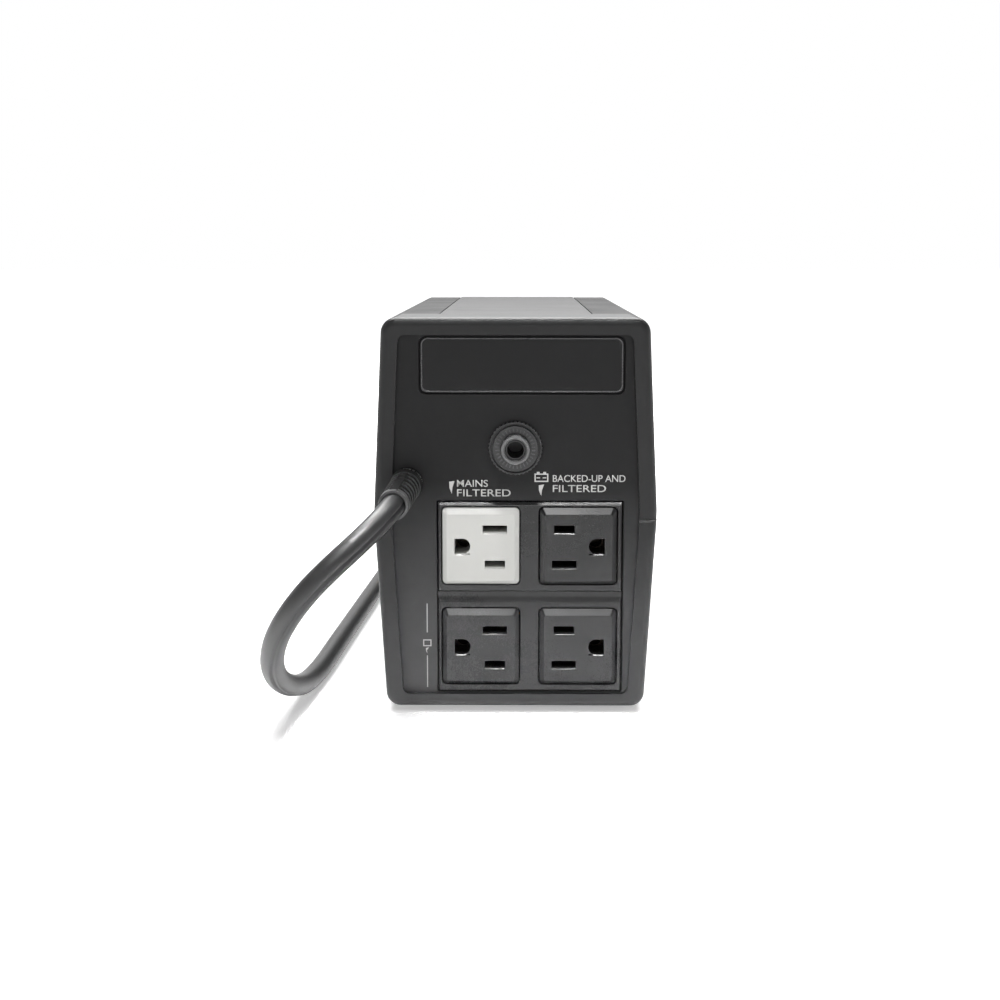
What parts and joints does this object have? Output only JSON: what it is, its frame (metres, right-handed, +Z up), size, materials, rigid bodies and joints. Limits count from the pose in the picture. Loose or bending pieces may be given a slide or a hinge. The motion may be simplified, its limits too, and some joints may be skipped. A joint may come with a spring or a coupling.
{
  "type": "uninterruptible power supply",
  "caption": "Small tower uninterruptible power supply: two-part case, grounded outlets and reset breaker on the back, power button in front, coiled mains lead.",
  "frame": {"origin": "middle of the base on the table, under the unit without its lead", "axes": "+Z up, +Y towards the rear face with the outlets, -Y towards the front face with the power button"},
  "size_m": [0.1364, 0.4625, 0.142],
  "materials": {
    "case_plastic": "fine textured charcoal ABS",
    "bezel_plastic": "fine textured charcoal ABS",
    "panel_plastic": "fine textured charcoal ABS",
    "plate_plastic": "satin charcoal plate",
    "outlet_black": "satin black thermoplastic",
    "outlet_white": "satin white thermoplastic",
    "inner_plastic": "plain black moulding",
    "contact_metal": "stamped contact strip",
    "steel": "zinc plated steel",
    "rubber": "matt black rubber",
    "cord_jacket": "satin black PVC jacket",
    "relief_plastic": "satin black PVC moulding",
    "breaker_plastic": "black phenolic",
    "button_plastic": "satin black",
    "lens": "clear light pipe",
    "battery_plastic": "moulded dark grey",
    "lead": "lead plate pack, stands in for lead",
    "laminations": "varnished silicon steel laminations",
    "copper": "enamelled copper winding",
    "pcb_green": "green glass epoxy board",
    "chip_black": "moulded epoxy",
    "aluminium": "extruded",
    "relay_blue": "moulded case",
    "capacitor_sleeve": "sleeved can",
    "varistor_blue": "epoxy coated disc",
    "terminal_green": "moulded block",
    "wire_red": "PVC wire",
    "wire_black": "PVC wire",
    "foam": "closed cell foam"
  },
  "bodies": {
    "case": {"top_cover": "case_plastic", "base_tray": "case_plastic", "front_bezel": "bezel_plastic", "rear_panel": "panel_plastic", "label_plate": "plate_plastic", "outlet_bezel": "outlet_black", "receptacle_surge_upper_left": "outlet_white", "receptacle_backup_upper_right": "outlet_black", "receptacle_backup_lower_left": "outlet_black", "receptacle_backup_lower_right": "outlet_black", "hot_contacts": "contact_metal", "neutral_contacts": "contact_metal", "ground_contacts": "contact_metal", "contact_housing": "inner_plastic", "breaker_body": "breaker_plastic", "breaker_ring_nut": "breaker_plastic", "breaker_terminals": "steel", "button_spring": "steel", "button_board": "pcb_green", "tact_switch": "chip_black", "indicator_lens": "lens", "rubber_feet": "rubber", "case_screws": "steel", "battery_case": "battery_plastic", "battery_lid": "battery_plastic", "battery_plates": "lead", "battery_terminals": "steel", "battery_pads": "foam", "spade_connectors": "wire_red", "battery_lead_red": "wire_red", "battery_lead_black": "wire_black", "transformer_core": "laminations", "transformer_winding": "copper", "transformer_frame": "steel", "transformer_screws": "steel", "main_board": "pcb_green", "board_screws": "steel", "heatsink": "aluminium", "power_transistors": "chip_black", "relays": "relay_blue", "capacitors": "capacitor_sleeve", "surge_varistors": "varistor_blue", "buzzer": "chip_black", "terminal_blocks": "terminal_green", "mains_wires": "wire_black", "strain_relief": "relief_plastic", "power_cord_run": "cord_jacket", "power_cord_coil": "cord_jacket", "power_cord_tail": "cord_jacket", "cord_tie": "rubber", "plug_body": "cord_jacket", "plug_blades": "contact_metal", "plug_ground_pin": "contact_metal"},
    "power_button": {"power_button": "button_plastic"},
    "breaker_reset_button": {"breaker_reset_button": "breaker_plastic"},
    "battery_cover": {"battery_cover": "case_plastic"}
  },
  "joints": [
    {"name": "power_button_press", "type": "slide", "parent": "case", "child": "power_button", "axis": [0, 1, 0], "range_m": [0, 0.002], "stiffness_N_per_m": 900, "deforming": ["button_spring"]},
    {"name": "breaker_reset_pop", "type": "slide", "parent": "case", "child": "breaker_reset_button", "axis": [0, 1, 0], "range_m": [0, 0.003]},
    {"name": "battery_cover_slide", "type": "slide", "parent": "case", "child": "battery_cover", "axis": [0, -1, 0], "range_m": [0, 0.01]}
  ]
}
